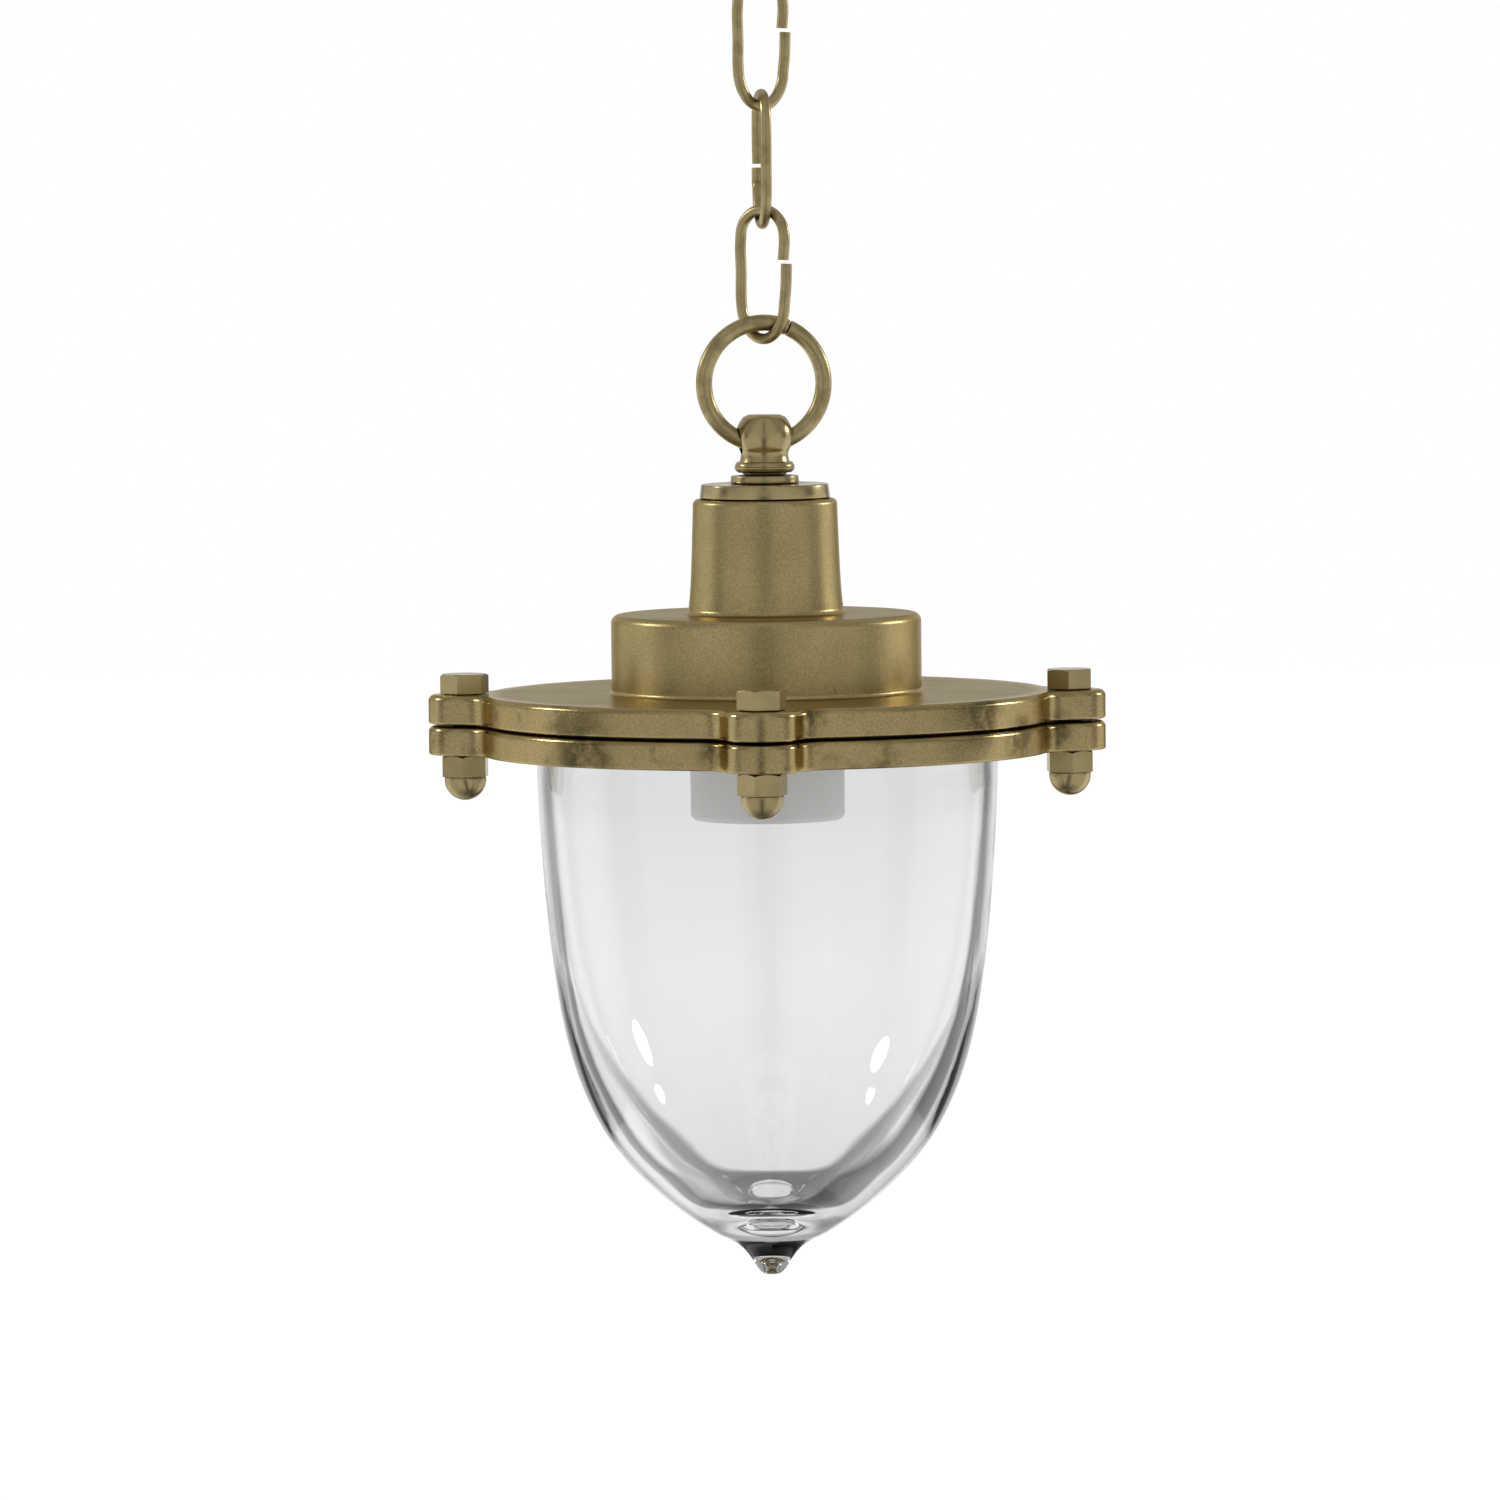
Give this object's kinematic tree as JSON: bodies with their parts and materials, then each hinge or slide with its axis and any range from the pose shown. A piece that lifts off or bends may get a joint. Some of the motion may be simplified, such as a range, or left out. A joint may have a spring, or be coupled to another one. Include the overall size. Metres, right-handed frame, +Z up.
{
  "type": "hanging ship lantern",
  "caption": "Cast brass ship's lantern with a clear glass bell clamped under its roof by domed nuts, hung on a ring and chain.",
  "frame": {"origin": "the hanging point: the underside of the top link's upper end, on the lantern's own axis", "axes": "+Z up, -Y towards the front as pictured, +X to the right as seen from the front"},
  "size_m": [0.2036, 0.2036, 0.3901],
  "materials": {
    "cast_brass": "fine sand-cast skin, lightly polished, aged",
    "turned_brass": "turned and polished, lightly aged",
    "drawn_brass_wire": "drawn wire, aged",
    "clear_glass": "pressed clear glass, fire polished",
    "porcelain": "glazed",
    "rubber": "matt",
    "plated_steel": "nickel plated"
  },
  "bodies": {
    "top_link": {"chain_link_top": "drawn_brass_wire"},
    "middle_link": {"chain_link_middle": "drawn_brass_wire"},
    "lower_link": {"chain_link_lower": "drawn_brass_wire"},
    "ring": {"suspension_ring": "drawn_brass_wire"},
    "lantern": {"ring_finial": "turned_brass", "finial_collar": "turned_brass", "cap_disc": "turned_brass", "roof_casting": "cast_brass", "stud_washer": "plated_steel", "stud_nut": "plated_steel", "holder_bracket": "cast_brass", "bracket_screw_left": "turned_brass", "bracket_screw_right": "turned_brass", "holder_screw_left": "plated_steel", "holder_screw_right": "plated_steel", "earth_screw": "turned_brass", "lamp_holder": "porcelain", "holder_thread_shell": "turned_brass", "centre_contact": "plated_steel", "terminal_block": "porcelain", "gland_body": "turned_brass", "gland_seal": "rubber", "gland_nut": "turned_brass", "upper_gasket": "rubber", "bolt_front": "turned_brass", "bolt_right": "turned_brass", "bolt_back": "turned_brass", "bolt_left": "turned_brass"},
    "glass_unit": {"glass_bell": "clear_glass", "lower_gasket": "rubber", "clamp_ring": "cast_brass"},
    "cap_nut_front": {"nut_front": "turned_brass"},
    "cap_nut_right": {"nut_right": "turned_brass"},
    "cap_nut_back": {"nut_back": "turned_brass"},
    "cap_nut_left": {"nut_left": "turned_brass"}
  },
  "joints": [
    {"name": "middle_link_swing", "type": "hinge", "parent": "top_link", "child": "middle_link", "pos_m": [0, 0, -0.0368], "axis": [0.866, 0.5, 0], "range_deg": [-40, 40]},
    {"name": "lower_link_swing", "type": "hinge", "parent": "middle_link", "child": "lower_link", "pos_m": [0, 0, -0.07197], "axis": [0.309, 0.9511, 0], "range_deg": [-40, 40]},
    {"name": "ring_swing", "type": "hinge", "parent": "lower_link", "child": "ring", "pos_m": [0, 0, -0.10648], "axis": [-0.454, 0.891, 0], "range_deg": [-40, 40]},
    {"name": "lantern_swing", "type": "hinge", "parent": "ring", "child": "lantern", "pos_m": [0, 0, -0.137], "axis": [0.9816, 0.1908, 0], "range_deg": [-45, 45]},
    {"name": "glass_unit_lowering", "type": "slide", "parent": "lantern", "child": "glass_unit", "axis": [0, 0, -1], "range_m": [0, 0.06]},
    {"name": "nut_turn_front", "type": "hinge", "parent": "glass_unit", "child": "cap_nut_front", "pos_m": [0, -0.0909, -0.23408], "axis": [0, 0, 1], "continuous": true},
    {"name": "nut_turn_right", "type": "hinge", "parent": "glass_unit", "child": "cap_nut_right", "pos_m": [0.0909, 0, -0.23408], "axis": [0, 0, 1], "continuous": true},
    {"name": "nut_turn_back", "type": "hinge", "parent": "glass_unit", "child": "cap_nut_back", "pos_m": [0, 0.0909, -0.23408], "axis": [0, 0, 1], "continuous": true},
    {"name": "nut_turn_left", "type": "hinge", "parent": "glass_unit", "child": "cap_nut_left", "pos_m": [-0.0909, 0, -0.23408], "axis": [0, 0, 1], "continuous": true}
  ]
}
